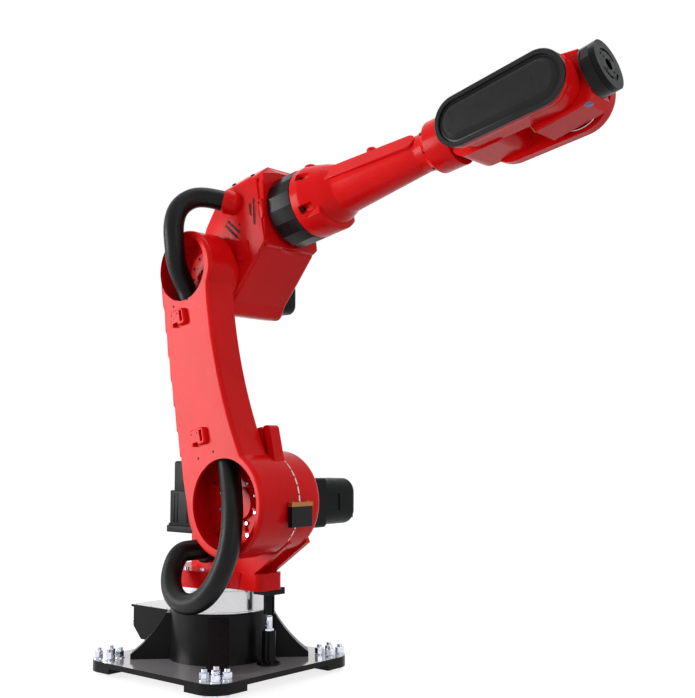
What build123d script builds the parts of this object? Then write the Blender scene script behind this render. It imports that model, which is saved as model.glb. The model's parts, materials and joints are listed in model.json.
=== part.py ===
"""Six-axis industrial robot arm, floor mounted, in millimetres.

+X points forward along the forearm, +Z up, origin on the first axis at floor level.
The upper arm stands on the -Y side of the turret.
"""
from build123d import *
import math
import os

os.makedirs("parts", exist_ok=True)

# Driving dimensions: base
PLATE_SIDE = 600.0
PLATE_TOP = 45.0
PLATE_THICKNESS = 16.0
PLATE_CORNER_R = 70.0
PAD_SIDE = 127.0
PAD_BOTTOM = 12.0
STUD_CENTRE = 244.0
STUD_SPACING = 46.0
STUD_R = 9.0
STUD_TIP_R = 8.0
DRUM_R = 159.0
DRUM_TOP = 197.0
BEARING_R = 152.0
BEARING_TOP = 274.0
STOP_X = 204.0
STOP_Y = 10.0

# Driving dimensions: turret
TABLE_BOTTOM = 275.0
TABLE_TOP = 326.0
TABLE_R = 157.0
NOSE_END = 260.0
J2_X = 270.0
J2_Z = 540.0
J2_HOUSING_R = 150.0
HOUSING_Y = (-85.0, 11.0)
SHELF_TOP = 428.0
J1_MOTOR_X = -116.0
MOTOR_FLANGE = 130.0
MOTOR_BODY = 112.0
J2_MOTOR_BODY = 142.0

# Driving dimensions: upper arm, leaning back from J2 to J3
J3_X = 104.0
J3_Z = 1230.0
ARM_Y = (-250.0, -150.0)
ARM_WALL = 9.0
ARM_HUB_FACE = -95.0
ARM_UPPER_FACE = -128.0
ARM_EDGE_R = 12.0
REDUCER_R = 112.0
ELBOW_REDUCER_R = 70.0

# Driving dimensions: forearm
FOREARM_PITCH = 10.84
AXIS_OFFSET = 150.0
ELBOW_Y = (-120.0, 115.0)
ELBOW_FRONT = 200.0
RING_END = 275.0
RING_R = 109.0
J5_REACH = 1185.0
COVER_SPAN = 230.0
WRIST_PITCH = 16.8
FLANGE_REACH = 134.0

RIB_WIDTH = 62.0
CHANNEL_RIM = 16.0

HOSE_R = 31.0
GAP = 1.0

# Derived frames
ARM_LENGTH = math.hypot(J3_X - J2_X, J3_Z - J2_Z)
ARM_LEAN = math.degrees(math.atan2(J3_X - J2_X, J3_Z - J2_Z))
PITCH = math.radians(FOREARM_PITCH)
AXIS_X = J3_X - AXIS_OFFSET * math.sin(PITCH)
AXIS_Z = J3_Z + AXIS_OFFSET * math.cos(PITCH)
J5_X = AXIS_X + J5_REACH * math.cos(PITCH)
J5_Z = AXIS_Z + J5_REACH * math.sin(PITCH)

ARM = Location((J2_X, 0, J2_Z), (0, ARM_LEAN, 0))
FORE = Location((AXIS_X, 0, AXIS_Z), (0, -FOREARM_PITCH, 0))
WRIST = Location((J5_X, 0, J5_Z), (0, -WRIST_PITCH, 0))


def slab(face, y_low, y_high):
    """Extrude a side-view sketch (X right, Z up) between two Y values."""
    return Pos(0, y_high, 0) * extrude(Plane.XZ * face, amount=y_high - y_low)


def drum_y(x, z, radius, y_low, y_high):
    """Round disc whose axis is parallel to Y."""
    return slab(Pos(x, z) * Circle(radius), y_low, y_high)


def drum_z(x, y, radius, z_low, z_high):
    """Round disc whose axis is vertical."""
    return Pos(x, y, z_low) * extrude(Circle(radius), amount=z_high - z_low)


def drum_x(radius, x_low, x_high):
    """Round disc whose axis is the local X axis."""
    return Pos(x_low, 0, 0) * extrude(Plane.YZ * Circle(radius), amount=x_high - x_low)


def block(x_low, x_high, y_low, y_high, z_low, z_high):
    """Plain box between two corners."""
    box = Box(x_high - x_low, y_high - y_low, z_high - z_low)
    return Pos((x_low + x_high) / 2, (y_low + y_high) / 2, (z_low + z_high) / 2) * box


def polygon(points):
    """Closed outline through the points, as a face."""
    return make_face(Polyline(*points, close=True))


def write(shape, name):
    solids = shape.solids()
    result = solids[0] if len(solids) == 1 else Compound(children=list(solids))
    export_step(result, f"parts/{name}.step")
    print(name, len(solids), round(shape.volume / 1e6, 3))


def stud_places():
    """Four studs in a square at each corner of the plate."""
    places = []
    for sx in (-1, 1):
        for sy in (-1, 1):
            for dx in (-0.5, 0.5):
                for dy in (-0.5, 0.5):
                    x = sx * STUD_CENTRE + dx * STUD_SPACING
                    y = sy * STUD_CENTRE + dy * STUD_SPACING
                    places.append((x, y))
    return places


def base_plate():
    """Square plate with rounded corners and a thick pad under each corner."""
    outline = RectangleRounded(PLATE_SIDE, PLATE_SIDE, PLATE_CORNER_R)
    plate_bottom = PLATE_TOP - PLATE_THICKNESS
    plate = Pos(0, 0, plate_bottom) * extrude(outline, amount=PLATE_THICKNESS)
    full = Pos(0, 0, PAD_BOTTOM) * extrude(outline, amount=plate_bottom - PAD_BOTTOM)
    pad_centre = (PLATE_SIDE - PAD_SIDE) / 2
    for sx in (-1, 1):
        for sy in (-1, 1):
            corner = Pos(sx * pad_centre, sy * pad_centre, 0)
            plate += full & (corner * Box(PAD_SIDE, PAD_SIDE, 200))
    holes = [drum_z(x, y, STUD_R, 0, 60) for x, y in stud_places()]
    return plate - Compound(children=holes)


def anchor_studs():
    """Threaded studs through the pads, with their tips on the floor and a nut on the plate."""
    studs = []
    for x, y in stud_places():
        tip = drum_z(x, y, STUD_TIP_R, 0, PAD_BOTTOM)
        shank = drum_z(x, y, STUD_R, PAD_BOTTOM, PLATE_TOP + 39)
        washer = drum_z(x, y, 15, PLATE_TOP, PLATE_TOP + 3)
        nut = Pos(x, y, PLATE_TOP + 3) * extrude(RegularPolygon(14, 6), amount=24)
        studs.append(tip + shank + washer + nut)
    return Compound(children=studs)


def base_casting():
    """Drum with four curved diagonal ribs that run out to the plate corners."""
    drum = drum_z(0, 0, DRUM_R, PLATE_TOP, DRUM_TOP)
    drum = chamfer(drum.edges().filter_by(GeomType.CIRCLE).sort_by(Axis.Z)[-1], 3)
    foot = Line((90, PLATE_TOP), (277, PLATE_TOP))
    tip = Line((277, PLATE_TOP), (277, 60))
    ridge = ThreePointArc((277, 60), (238, 94), (168, 186))
    top = Line((168, 186), (90, 186))
    inner = Line((90, 186), (90, PLATE_TOP))
    rib = slab(make_face([foot, tip, ridge, top, inner]), -RIB_WIDTH / 2, RIB_WIDTH / 2)
    body = drum
    for turn in (45, 135, 225, 315):
        body += Rot(0, 0, turn) * rib
    return body


def connector_box():
    """Rear box with a lid flange and an undercut foot, fitted to the drum."""
    box = block(-345, -120, -72, 72, 72, 174)
    lid = block(-350, -120, -78, 78, 174, 182)
    undercut = Pos(-345, 0, 72) * Rot(0, 45, 0) * Box(56, 200, 56)
    socket_row = [Pos(-345, y, 128) * Rot(0, -90, 0) * extrude(RectangleRounded(46, 30, 5), amount=8) for y in (-42, 0, 42)]
    for socket in socket_row:
        box += socket
    return box + lid - undercut - drum_z(0, 0, DRUM_R, 0, 300)


def bearing_ring():
    """Slewing ring with the keyway that faces the stop."""
    outer = drum_z(0, 0, BEARING_R, DRUM_TOP, BEARING_TOP)
    keyway = Rot(0, 0, -9) * block(BEARING_R - 8, BEARING_R + 5, -5, 5, 236, BEARING_TOP + 5)
    return outer - drum_z(0, 0, 95, DRUM_TOP - 5, BEARING_TOP + 5) - keyway


def stop_post():
    """Fluted post on the plate that guides the stop plunger."""
    post = drum_z(STOP_X, STOP_Y, 21, PLATE_TOP, 145)
    for turn in range(0, 360, 60):
        flute = Pos(STOP_X, STOP_Y, 0) * Rot(0, 0, turn) * drum_z(24, 0, 7, PLATE_TOP + 12, 150)
        post -= flute
    return post


def stop_plunger():
    shank = drum_z(STOP_X, STOP_Y, 10, 145, 189)
    return chamfer(shank.edges().sort_by(Axis.Z)[-1], 2)


def stop_block():
    """Block and split sleeve under the turret nose."""
    plate = block(STOP_X - 34, STOP_X + 34, STOP_Y - 34, STOP_Y + 34, 255, TABLE_BOTTOM)
    sleeve = drum_z(STOP_X, STOP_Y, 17, 196, 260)
    slit = block(STOP_X + 10, STOP_X + 20, STOP_Y - 3, STOP_Y + 3, 190, 255)
    return plate + sleeve - slit


def turret():
    """Red casting: round table with a nose, leaning channelled pedestal and the J2 housing."""
    table = drum_z(0, 0, TABLE_R, TABLE_BOTTOM, TABLE_TOP)
    nose_plan = Pos(NOSE_END / 2, -38) * RectangleRounded(NOSE_END, 104, 20)
    table += Pos(0, 0, TABLE_BOTTOM) * extrude(nose_plan, amount=TABLE_TOP - TABLE_BOTTOM)
    side = polygon([(-46, 300), (196, 300), (372, 421), (300, 560), (167, 663), (-46, SHELF_TOP)])
    pedestal = slab(side, HOUSING_Y[0], HOUSING_Y[1])
    channel = polygon([(190, 316), (240, 316), (400, 426), (380, 450)])
    pedestal -= slab(channel, HOUSING_Y[0] + CHANNEL_RIM, HOUSING_Y[1] - CHANNEL_RIM)
    housing = drum_y(J2_X, J2_Z, J2_HOUSING_R, HOUSING_Y[0], HOUSING_Y[1])
    far_rim = housing.edges().filter_by(GeomType.CIRCLE).sort_by(Axis.Y)[-1]
    housing = fillet(far_rim, 22)
    shelf_plan = Pos(-70, 17) * RectangleRounded(110, 84, 20)
    shelf = Pos(0, 0, 300) * extrude(shelf_plan, amount=SHELF_TOP - 300)
    boss = Pos(172, -88, (TABLE_BOTTOM + TABLE_TOP) / 2) * Cone(4, 14, TABLE_TOP - TABLE_BOTTOM)
    return table + boss + pedestal + housing + shelf


def j2_bearing_ring():
    """Bright ring in the groove between housing and arm."""
    y_low = ARM_HUB_FACE + GAP
    ring = drum_y(J2_X, J2_Z, 143, y_low, HOUSING_Y[0])
    return ring - drum_y(J2_X, J2_Z, 95, y_low - 5, HOUSING_Y[0] + 5)


def bumper_block():
    """Rubber stop block on the housing, in front of the groove."""
    block_face = block(430, 446, -146, -62, 476, 534)
    foot = block(408, 431, -82, -62, 488, 526)
    return block_face + foot - drum_y(J2_X, J2_Z, J2_HOUSING_R, HOUSING_Y[0] - 5, HOUSING_Y[1])


def bumper_plate():
    """Bonded cover plate on top of the stop block."""
    return block(430, 447, -148, -60, 534, 546)


def j1_motor():
    """Upright servo motor: square flange, panelled body, cap and a side connector."""
    base = Pos(J1_MOTOR_X, 0, SHELF_TOP) * extrude(RectangleRounded(MOTOR_FLANGE, MOTOR_FLANGE, 12), amount=20)
    trunk = extrude(RectangleRounded(MOTOR_BODY, MOTOR_BODY, 20), amount=134)
    for turn in range(0, 360, 90):
        panel = Rot(0, 0, turn) * block(MOTOR_BODY / 2 - 3, MOTOR_BODY, -34, 34, 34, 120)
        trunk -= panel
    cap = Pos(0, 0, 138) * extrude(RectangleRounded(MOTOR_BODY - 8, MOTOR_BODY - 8, 20), amount=90)
    cap = fillet(cap.edges().group_by(Axis.Z)[-1], 8)
    neck = Pos(0, 0, 134) * extrude(RectangleRounded(MOTOR_BODY - 14, MOTOR_BODY - 14, 18), amount=4)
    connector = block(-44, 14, -MOTOR_BODY / 2 - 26, -MOTOR_BODY / 2 + 8, 92, 128)
    return base + Pos(J1_MOTOR_X, 0, SHELF_TOP) * (trunk + neck + cap + connector)


def j2_motor():
    """Servo motor on its square adapter, with a panelled body, round end and plug."""
    centre = Pos(J2_X, J2_Z - 8)
    adapter = slab(centre * RectangleRounded(150, 150, 12), HOUSING_Y[1], 112)
    trunk = slab(centre * RectangleRounded(J2_MOTOR_BODY, J2_MOTOR_BODY, 44), 112, 262)
    trunk = fillet(trunk.edges().group_by(Axis.Y)[-1], 20)
    for turn in range(0, 360, 90):
        panel = Pos(J2_X, 0, J2_Z - 8) * Rot(0, turn, 0) * block(68, 90, 124, 182, -26, 26)
        trunk -= panel
    plug = block(J2_X + 20, J2_X + 48, 236, 272, J2_Z - 62, J2_Z - 46)
    return adapter + trunk + plug


def arm_outline():
    """Side view of the upper arm in its own frame, J2 at the origin, J3 above it."""
    lower = Circle(158)
    upper = Pos(-12, ARM_LENGTH + 12) * Circle(117)
    back = ThreePointArc((-157, 10), (-150, 400), (-128, 730))
    top = Line((-128, 730), (100, 750))
    front = ThreePointArc((100, 750), (66, 470), (150, -30))
    bottom = Line((150, -30), (-157, 10))
    return lower + upper + make_face([back, top, front, bottom])


def upper_arm():
    """Hollow cast arm with a round window at each end and a bearing boss on its inner side."""
    outline = arm_outline()
    shell = slab(outline, ARM_Y[0], ARM_Y[1])
    rim = shell.faces().sort_by(Axis.Y)[0].outer_wire().edges()
    shell = fillet(rim, ARM_EDGE_R)
    room = offset(outline, -ARM_WALL)
    shell -= slab(room, ARM_Y[0] + ARM_WALL, ARM_Y[1] - ARM_WALL)
    shell -= drum_y(5, -3, 132, ARM_Y[0] - 5, ARM_Y[0] + ARM_WALL + 1)
    shell -= drum_y(-22, ARM_LENGTH + 18, 101, ARM_Y[0] - 5, ARM_Y[0] + ARM_WALL + 1)
    shell += drum_y(0, 0, 155, ARM_Y[1] - 2, ARM_HUB_FACE)
    shell += drum_y(0, ARM_LENGTH, 95, ARM_Y[1] - 2, ARM_UPPER_FACE)
    shell -= drum_y(0, 0, REDUCER_R, ARM_Y[1] - 20, ARM_HUB_FACE + 5)
    shell -= drum_y(0, ARM_LENGTH, ELBOW_REDUCER_R, ARM_Y[1] - 20, ARM_UPPER_FACE + 5)
    for d in (200, 330, 460):
        web = slab(Pos(-40, d) * Rectangle(320, 10), ARM_Y[1] - 19, ARM_Y[1] - ARM_WALL + 1)
        shell += web & slab(room, ARM_Y[0], ARM_Y[1])
    return ARM * shell


def reducer(d, radius, face, bolts):
    """Output flange of a reducer seen through an arm window: a stepped disc with a bolt circle."""
    disc = drum_y(0, d, radius, ARM_Y[1] - 22, face)
    hub = drum_y(0, d, radius * 0.42, ARM_Y[1] - 34, ARM_Y[1] - 20)
    disc += hub
    disc -= drum_y(0, d, radius * 0.2, ARM_Y[1] - 40, ARM_Y[1] - 24)
    for k in range(bolts):
        angle = math.radians(360 / bolts * k)
        x = radius * 0.84 * math.cos(angle)
        z = radius * 0.84 * math.sin(angle)
        disc -= drum_y(x, d + z, radius * 0.07, ARM_Y[1] - 30, ARM_Y[1] - 12)
    return ARM * disc


def arm_lug():
    """Two-prong lug on the rim of the hub that meets the stop block at full lean."""
    lug = block(62, 122, -134, ARM_HUB_FACE, 96, 206)
    lug = fillet(lug.edges().filter_by(Axis.Y).sort_by(Axis.Z)[-2:], 14)
    lug -= block(86, 98, -140, -116, 90, 220)
    return ARM * (lug - drum_y(0, 0, 155, -140, ARM_HUB_FACE + 5))


def hose_clamp(f, d):
    """Cast saddle on the outer face with two slots for the tie strap and its screw holes."""
    body = slab(RectangleRounded(62, 50, 10), ARM_Y[0] - 14, ARM_Y[0])
    top_edges = body.edges().group_by(Axis.Y)[0]
    body = fillet(top_edges, 5)
    body -= block(12, 24, ARM_Y[0] - 20, ARM_Y[0] - 2, -16, 18)
    body -= block(-20, 2, ARM_Y[0] - 20, ARM_Y[0] - 2, -26, -14)
    for x in (-20, 4):
        body -= drum_y(x, 12, 2.6, ARM_Y[0] - 20, ARM_Y[0] - 6)
    return ARM * Pos(f, 0, d) * body


def elbow_outline():
    """Side view of the elbow in the forearm frame, J3 at (0, -AXIS_OFFSET), with rounded corners."""
    corners = [(ELBOW_FRONT, 118), (52, 110), (-36, 20), (-100, -84), (-114, -150), (-92, -222), (-40, -262),
               (22, -281), (48, -244), (ELBOW_FRONT, -113)]
    sharp = polygon(corners)
    return fillet(sharp.vertices(), 24)


def elbow_casting():
    """Gear housing between the arms: bevelled cheek, raised crest, front collar, vents and a stop pad."""
    near, far = ELBOW_Y
    body = slab(elbow_outline(), near, far)
    near_rim = body.faces().sort_by(Axis.Y)[0].outer_wire().edges()
    body = fillet(near_rim, 12)
    far_rim = body.faces().sort_by(Axis.Y)[-1].outer_wire().edges()
    body = fillet(far_rim, 15)
    crest_face = make_face(Polyline((-116, 90), (-112, 112), (-50, 154), (60, 154), (98, 112), (98, 90), close=True))
    crest = Pos(60, 0, 0) * extrude(Plane.YZ * crest_face, amount=ELBOW_FRONT - 60)
    crest -= slab(polygon([(50, 170), (50, 112), (120, 170)]), near - 5, far + 5)
    body += crest
    body += drum_x(121, ELBOW_FRONT - 20, ELBOW_FRONT + 8)
    body -= drum_x(RING_R + 3, ELBOW_FRONT, ELBOW_FRONT + 20)
    body += drum_y(0, -AXIS_OFFSET, 92, ARM_UPPER_FACE + GAP, near + 2)
    pad = slab(Pos(182, 2) * RectangleRounded(24, 66, 9), near - 4, near + 2)
    stop_pad = slab(Pos(124, -106) * RectangleRounded(48, 58, 10), near - 12, near + 2)
    body += pad + stop_pad
    for s, n, length, turn in ((163, 0, 88, 6), (150, 8, 40, 6), (86, -18, 70, 129), (70, -30, 66, 129)):
        slot = Pos(s, n) * Rot(0, 0, turn) * SlotOverall(length, 7).rotate(Axis.Z, 90)
        body -= slab(slot, near - 20, near + 7)
    return FORE * body


def j3_motor():
    """Servo motor on the far side of the elbow, with a panelled body and round end."""
    centre = Pos(130, 1205)
    adapter = slab(centre * RectangleRounded(MOTOR_FLANGE, MOTOR_FLANGE, 16), ELBOW_Y[1], 140)
    trunk = slab(centre * RectangleRounded(MOTOR_BODY, MOTOR_BODY, 30), 140, 250)
    trunk = fillet(trunk.edges().group_by(Axis.Y)[-1], 14)
    for turn in range(0, 360, 90):
        panel = Pos(130, 0, 1205) * Rot(0, turn, 0) * block(MOTOR_BODY / 2 - 3, MOTOR_BODY, 152, 214, -22, 22)
        trunk -= panel
    return adapter + trunk


def j4_ring():
    """Black drive ring with flat facets."""
    sides = Plane.YZ * RegularPolygon(RING_R + 1, 16)
    ring = Pos(ELBOW_FRONT, 0, 0) * extrude(sides, amount=RING_END - ELBOW_FRONT)
    return FORE * ring


def forearm():
    """Flange with bolt pockets and a belly pod, then a long tapered tube with a flat pad and a collar."""
    profile = polygon([(RING_END + GAP, 0), (RING_END + GAP, RING_R), (305, RING_R), (372, 92), (410, 76),
                       (745, 54), (772, 58), (792, 76), (862, 76), (862, 0)])
    tube = revolve(profile, axis=Axis.X)
    pod = drum_x(RING_R, RING_END + GAP, 406) & block(200, 500, -90, 90, -130, -48)
    tube += pod
    for turn in range(20, 380, 40):
        pocket = Rot(turn, 0, 0) * Pos(0, 0, 102) * drum_x(12, 312, 420)
        tube -= pocket
    pad_plan = Pos(575, 0) * SlotOverall(350, 52)
    pad = slab(pad_plan, -90, -20)
    pad -= Pos(400, -80.5, 0) * Rot(0, 0, 3.8) * block(-60, 500, -60, 0, -80, 80)
    tube += Rot(-32, 0, 0) * pad
    for s, reach, radius in ((325, 119, 22), (567, 86, 15)):
        knob = drum_z(s, 0, radius, 20, reach)
        tube += fillet(knob.edges().sort_by(Axis.Z)[-1], 6)
    return FORE * tube


def wrist_housing():
    """Fork that carries the tilting wrist between its two arms."""
    near = slab(Pos(J5_REACH - COVER_SPAN / 2, 0) * SlotCenterToCenter(COVER_SPAN, 148), -95, -45)
    far = slab(Pos(J5_REACH - 100, 0) * SlotCenterToCenter(200, 190), 75, 115)
    far = fillet(far.faces().sort_by(Axis.Y)[-1].outer_wire().edges(), 14)
    bridge = slab(Pos(955, 0) * RectangleRounded(182, 158, 44), -50, 80)
    bridge -= drum_y(J5_REACH, 0, 158, -44, 74)
    return FORE * (near + far + bridge - drum_x(80, 750, 863))


def wrist_cover():
    """Long belt cover with round ends, a rim, a groove and a raised panel with sloped sides."""
    centre = Pos(J5_REACH - COVER_SPAN / 2, 0)
    cover = slab(centre * SlotCenterToCenter(COVER_SPAN, 148), -125, -95)
    cover = fillet(cover.faces().sort_by(Axis.Y)[0].outer_wire().edges(), 4)
    cover -= slab(centre * SlotCenterToCenter(COVER_SPAN, 120), -130, -115)
    panel = extrude(Plane.XZ.offset(115) * centre * SlotCenterToCenter(COVER_SPAN, 112), amount=14, taper=38)
    return FORE * (cover + panel)


def wrist_bearing_ring():
    ring = drum_y(J5_REACH, 0, 80, 56, 75) - drum_y(J5_REACH, 0, 50, 50, 80)
    return FORE * ring


def tilt_body():
    """Housing on the fifth axis with a flat underside and a snout for the tool flange."""
    side = polygon([(-98, -46), (-84, -84), (66, -84), (86, -66), (86, 60), (40, 72), (-40, 72)])
    housing = slab(side + Circle(80), -43, 55)
    housing = fillet(housing.faces().sort_by(Axis.Y)[0].outer_wire().edges(), 5)
    snout = drum_x(66, 0, 88)
    trim = block(-200, 200, -43, 55, -100, 100)
    return WRIST * (housing + (snout & trim))


def tool_sleeve():
    """Black sleeve with one flat panel."""
    sleeve = drum_x(68, 88, FLANGE_REACH - 15)
    sleeve -= Rot(-28, 0, 0) * block(92, FLANGE_REACH - 18, -80, -65.5, -26, 26)
    return WRIST * sleeve


def tool_flange():
    """Round tool plate with its bolt circle, centring bore and two curved slots."""
    disc = drum_x(68, FLANGE_REACH - 14, FLANGE_REACH)
    disc -= drum_x(15.75, FLANGE_REACH - 8, FLANGE_REACH + 5)
    for k in range(4):
        hole = Rot(45 + 90 * k, 0, 0) * Pos(0, 25, 0) * drum_x(3, FLANGE_REACH - 11, FLANGE_REACH + 5)
        disc -= hole
    groove = drum_x(44, FLANGE_REACH - 3, FLANGE_REACH + 5) - drum_x(36, FLANGE_REACH - 5, FLANGE_REACH + 10)
    for k in (0, 180):
        sector = Rot(k, 0, 0) * block(0, 300, -40, 40, 18, 60)
        disc -= groove & sector
    return WRIST * disc


LOWER_HOSE = [
    (32, -106, 388), (32, -140, 388), (10, -186, 384), (14, -222, 318), (66, -254, 264), (150, -275, 246),
    (236, -288, 270), (302, -293, 330), (336, -290, 398), (343, -282, 460), (328, -264, 520), (296, -238, 572),
    (262, -214, 620), (243, -204, 660), (226, -204, 700),
]
MIDDLE_HOSE = [(226, -204, 700), (197.1, -204, 768), (162, -203, 840), (136, -203, 920), (117, -203, 1000),
               (96, -204, 1070), (74, -204, 1126)]
UPPER_HOSE = [
    (74, -204, 1126), (57.5, -204, 1168), (57, -228, 1212), (70, -262, 1254), (86, -285, 1306), (82, -288, 1368),
    (76, -266, 1424), (88, -226, 1460), (116, -188, 1467), (143, -158, 1458),
]


def corner_radii(points):
    """Largest arcs that fit: 0.45 of the shorter run over the tangent of half the turn."""
    radii = []
    for a, b, c in zip(points, points[1:], points[2:]):
        first = Vector(*b) - Vector(*a)
        second = Vector(*c) - Vector(*b)
        half_turn = math.radians(first.get_angle(second)) / 2
        radii.append(0.45 * min(first.length, second.length) / math.tan(half_turn))
    return radii


def hose(points, name):
    radii = corner_radii(points)
    path = FilletPolyline(*points, radius=radii)
    start = Vector(*points[0])
    heading = Vector(*points[1]) - start
    section = Plane(origin=start, z_dir=heading) * Circle(HOSE_R)
    tube = sweep(section, path=path)
    ideal = math.pi * HOSE_R**2 * path.length
    print(name, "radii", [round(r) for r in radii], "length", round(path.length), "ratio", round(tube.volume / ideal, 4))
    return tube


def turret_gland():
    """Union on the pedestal side that the hose leaves from."""
    return drum_y(32, 388, 40, LOWER_HOSE[0][1], HOUSING_Y[0])


def elbow_gland():
    start = Vector(*UPPER_HOSE[-1])
    heading = start - Vector(*UPPER_HOSE[-2])
    body = Plane(origin=start, z_dir=heading) * Circle(40)
    return extrude(body, amount=70) - elbow_casting()


write(base_plate(), "base_plate")
write(anchor_studs(), "anchor_studs")
write(base_casting(), "base_casting")
write(connector_box(), "connector_box")
write(bearing_ring(), "base_bearing_ring")
write(stop_post(), "stop_post")
write(stop_plunger(), "stop_plunger")
write(stop_block(), "stop_sleeve")
write(turret(), "turret_casting")
write(j2_bearing_ring(), "shoulder_bearing_ring")
write(bumper_block(), "shoulder_stop_rubber")
write(bumper_plate(), "shoulder_stop_plate")
write(j1_motor(), "turret_motor")
write(j2_motor(), "shoulder_motor")
write(turret_gland(), "turret_hose_gland")
write(upper_arm(), "upper_arm")
write(reducer(0, REDUCER_R, ARM_HUB_FACE, 12), "shoulder_reducer")
write(reducer(ARM_LENGTH, ELBOW_REDUCER_R, ARM_UPPER_FACE, 10), "elbow_reducer")
write(arm_lug(), "shoulder_stop_lug")
write(hose_clamp(-50.6, 208.9), "lower_hose_clamp")
write(hose_clamp(-60.7, 580.1), "upper_hose_clamp")
write(elbow_casting(), "elbow_casting")
write(j3_motor(), "elbow_motor")
write(elbow_gland(), "elbow_hose_gland")
write(j4_ring(), "forearm_drive_ring")
write(forearm(), "forearm_tube")
write(wrist_housing(), "wrist_fork")
write(wrist_cover(), "wrist_cover")
write(wrist_bearing_ring(), "wrist_bearing_ring")
write(tilt_body(), "wrist_body")
write(tool_sleeve(), "tool_sleeve")
write(tool_flange(), "tool_flange")
write(hose(LOWER_HOSE, "lower_hose"), "lower_hose")
write(hose(MIDDLE_HOSE, "middle_hose"), "middle_hose")
write(hose(UPPER_HOSE, "upper_hose"), "upper_hose")
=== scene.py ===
"""Looks for the floor-mounted industrial robot arm: camera, light, materials and fine detail."""
import itertools
import json
import math

import bmesh
import bpy
from mathutils import Matrix, Vector


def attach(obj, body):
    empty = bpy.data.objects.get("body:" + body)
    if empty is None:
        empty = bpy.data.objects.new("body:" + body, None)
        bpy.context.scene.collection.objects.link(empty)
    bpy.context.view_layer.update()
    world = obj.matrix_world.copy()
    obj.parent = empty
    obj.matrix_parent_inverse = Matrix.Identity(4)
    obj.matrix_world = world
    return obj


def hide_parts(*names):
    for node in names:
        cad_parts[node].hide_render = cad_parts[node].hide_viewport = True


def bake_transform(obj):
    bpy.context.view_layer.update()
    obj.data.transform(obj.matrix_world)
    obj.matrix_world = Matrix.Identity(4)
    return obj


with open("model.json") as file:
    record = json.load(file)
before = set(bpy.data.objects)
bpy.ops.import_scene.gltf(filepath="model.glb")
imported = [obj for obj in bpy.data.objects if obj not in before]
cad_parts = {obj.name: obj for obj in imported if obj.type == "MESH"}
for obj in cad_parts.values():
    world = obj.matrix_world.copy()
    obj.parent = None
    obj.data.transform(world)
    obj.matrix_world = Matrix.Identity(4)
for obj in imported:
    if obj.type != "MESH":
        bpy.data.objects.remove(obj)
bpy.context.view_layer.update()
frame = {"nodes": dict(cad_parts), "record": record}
NODES = frame["nodes"]
MM = 0.001

# Camera fitted to the photograph, in metres and degrees
CAMERA_PLACE = (2.4974, -2.3243, 0.7081)
CAMERA_TURN = (95.221, 0.0, 40.298)
CAMERA_LENS = 54.155
SENSOR = 36.0

# Driving sizes of the arm, in millimetres
J2 = (270.0, 540.0)
J3 = (104.0, 1230.0)
ARM_LEAN = 13.53
ELBOW_AXIS = (75.8, 1377.3)
FOREARM_PITCH = 10.84
J5 = (1239.7, 1600.2)
WRIST_PITCH = 16.8
ARM_LENGTH = math.hypot(J3[0] - J2[0], J3[1] - J2[1])
HOSE_R = 31.0


def side_frame(centre, pitch):
    """Frame of a side view: x along the part, y across it upward, z towards -Y, all in millimetres."""
    turn = Matrix.Rotation(math.radians(-pitch), 4, "Y") @ Matrix.Rotation(math.radians(90), 4, "X")
    scale = Matrix.Scale(MM, 4)
    return scale @ Matrix.Translation((centre[0], 0, centre[1])) @ turn


WORLD = Matrix.Scale(MM, 4)
SHOULDER = side_frame(J2, 0)
ARM = side_frame(J2, ARM_LEAN)
FORE = side_frame(ELBOW_AXIS, FOREARM_PITCH)
WRIST = side_frame(J5, WRIST_PITCH)


def shift(x, y, z):
    return Matrix.Translation((x, y, z))


def spin(angle, axis):
    return Matrix.Rotation(math.radians(angle), 4, axis)


ALONG_X = spin(90, "Y")
UP_Y = spin(-90, "X")


def new_material(name):
    """Empty node material with a Principled shader, returned with its tree."""
    mat = bpy.data.materials.new(name)
    mat.use_nodes = True
    tree = mat.node_tree
    shader = tree.nodes["Principled BSDF"]
    return mat, tree, shader


def add_noise(tree, scale, detail=4.0, stretch=(1, 1, 1)):
    """Noise in the piece's own coordinates, in metres."""
    coords = tree.nodes.new("ShaderNodeTexCoord")
    mapping = tree.nodes.new("ShaderNodeMapping")
    mapping.inputs["Scale"].default_value = stretch
    noise = tree.nodes.new("ShaderNodeTexNoise")
    noise.inputs["Scale"].default_value = scale
    noise.inputs["Detail"].default_value = detail
    tree.links.new(coords.outputs["Object"], mapping.inputs["Vector"])
    tree.links.new(mapping.outputs["Vector"], noise.inputs["Vector"])
    return noise


def ramp_between(tree, source, low, high, start=0.35, end=0.65):
    """Colour ramp between two colours driven by a grey value."""
    ramp = tree.nodes.new("ShaderNodeValToRGB")
    ramp.color_ramp.elements[0].position = start
    ramp.color_ramp.elements[0].color = (*low, 1)
    ramp.color_ramp.elements[1].position = end
    ramp.color_ramp.elements[1].color = (*high, 1)
    tree.links.new(source, ramp.inputs["Fac"])
    return ramp


def value_range(tree, source, low, high, start=0.3, end=0.7):
    """Grey value spread between two numbers."""
    spread = tree.nodes.new("ShaderNodeMapRange")
    spread.inputs["From Min"].default_value = start
    spread.inputs["From Max"].default_value = end
    spread.inputs["To Min"].default_value = low
    spread.inputs["To Max"].default_value = high
    tree.links.new(source, spread.inputs["Value"])
    return spread.outputs["Result"]


def add_bump(tree, shader, source, strength, distance):
    bump = tree.nodes.new("ShaderNodeBump")
    bump.inputs["Strength"].default_value = strength
    bump.inputs["Distance"].default_value = distance
    tree.links.new(source, bump.inputs["Height"])
    tree.links.new(bump.outputs["Normal"], shader.inputs["Normal"])


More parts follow.
